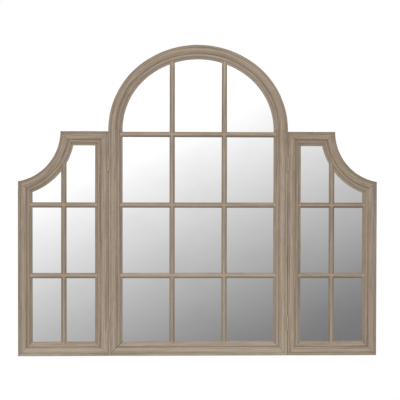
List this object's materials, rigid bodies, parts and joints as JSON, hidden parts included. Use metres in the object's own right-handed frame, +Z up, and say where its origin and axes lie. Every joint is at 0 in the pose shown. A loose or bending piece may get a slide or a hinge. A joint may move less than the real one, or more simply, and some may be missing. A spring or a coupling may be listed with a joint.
{
  "type": "trifold wall mirror",
  "caption": "Wall mirror with an arched centre panel and scooped hinged wings that swing forward, in moulded washed-wood frames with glazing bars.",
  "frame": {"origin": "midway between the head holes of the two keyhole hangers, on the plane of the frame's back", "axes": "+X to the viewer's right, +Y into the wall, +Z up; the mirror faces -Y"},
  "size_m": [1.22, 0.031, 1.0565],
  "materials": {
    "frame_wood": "washed grey-brown, open grain, matt",
    "bar_wood": "washed grey-brown, open grain, matt",
    "mirror": "silvered float glass",
    "backing_board": "brown hardboard, smooth",
    "biscuit_wood": "pressed beech",
    "hinge_metal": "painted with the frame, matt",
    "pin_steel": "drawn steel",
    "hinge_screw_metal": "painted with the frame, matt",
    "screw_steel": "zinc plated, slightly yellow",
    "hanger_steel": "zinc plated",
    "bumper_rubber": "soft, matt"
  },
  "bodies": {
    "centre": {"arch_crown": "frame_wood", "arch_left_haunch": "frame_wood", "arch_right_haunch": "frame_wood", "centre_backing_board": "backing_board", "centre_backing_screws": "screw_steel", "centre_biscuits": "biscuit_wood", "centre_bottom_rail": "frame_wood", "centre_bumpers": "bumper_rubber", "centre_hinge_screws": "hinge_screw_metal", "centre_left_bar": "bar_wood", "centre_left_stile": "frame_wood", "centre_lower_crossbar": "bar_wood", "centre_middle_crossbar": "bar_wood", "centre_mirror": "mirror", "centre_right_bar": "bar_wood", "centre_right_stile": "frame_wood", "centre_upper_crossbar": "bar_wood", "hanger_plates": "hanger_steel", "hanger_screws": "screw_steel", "left_lower_hinge_frame_leaf": "hinge_metal", "left_lower_hinge_pin": "pin_steel", "left_upper_hinge_frame_leaf": "hinge_metal", "left_upper_hinge_pin": "pin_steel", "right_lower_hinge_frame_leaf": "hinge_metal", "right_lower_hinge_pin": "pin_steel", "right_upper_hinge_frame_leaf": "hinge_metal", "right_upper_hinge_pin": "pin_steel"},
    "left_wing": {"left_backing_board": "backing_board", "left_backing_screws": "screw_steel", "left_bar": "bar_wood", "left_biscuits": "biscuit_wood", "left_bottom_rail": "frame_wood", "left_bumpers": "bumper_rubber", "left_hinge_screws": "hinge_screw_metal", "left_hinge_stile": "frame_wood", "left_lower_crossbar": "bar_wood", "left_lower_hinge_wing_leaf": "hinge_metal", "left_mirror": "mirror", "left_outer_stile": "frame_wood", "left_scoop_rail": "frame_wood", "left_top_rail": "frame_wood", "left_upper_crossbar": "bar_wood", "left_upper_hinge_wing_leaf": "hinge_metal"},
    "right_wing": {"right_backing_board": "backing_board", "right_backing_screws": "screw_steel", "right_bar": "bar_wood", "right_biscuits": "biscuit_wood", "right_bottom_rail": "frame_wood", "right_bumpers": "bumper_rubber", "right_hinge_screws": "hinge_screw_metal", "right_hinge_stile": "frame_wood", "right_lower_crossbar": "bar_wood", "right_lower_hinge_wing_leaf": "hinge_metal", "right_mirror": "mirror", "right_outer_stile": "frame_wood", "right_scoop_rail": "frame_wood", "right_top_rail": "frame_wood", "right_upper_crossbar": "bar_wood", "right_upper_hinge_wing_leaf": "hinge_metal"}
  },
  "joints": [
    {"name": "left_wing_swing", "type": "hinge", "parent": "centre", "child": "left_wing", "pos_m": [-0.3055, -0.025, 0], "axis": [0, 0, 1], "range_deg": [0, 150]},
    {"name": "right_wing_swing", "type": "hinge", "parent": "centre", "child": "right_wing", "pos_m": [0.3055, -0.025, 0], "axis": [0, 0, -1], "range_deg": [0, 150]}
  ]
}
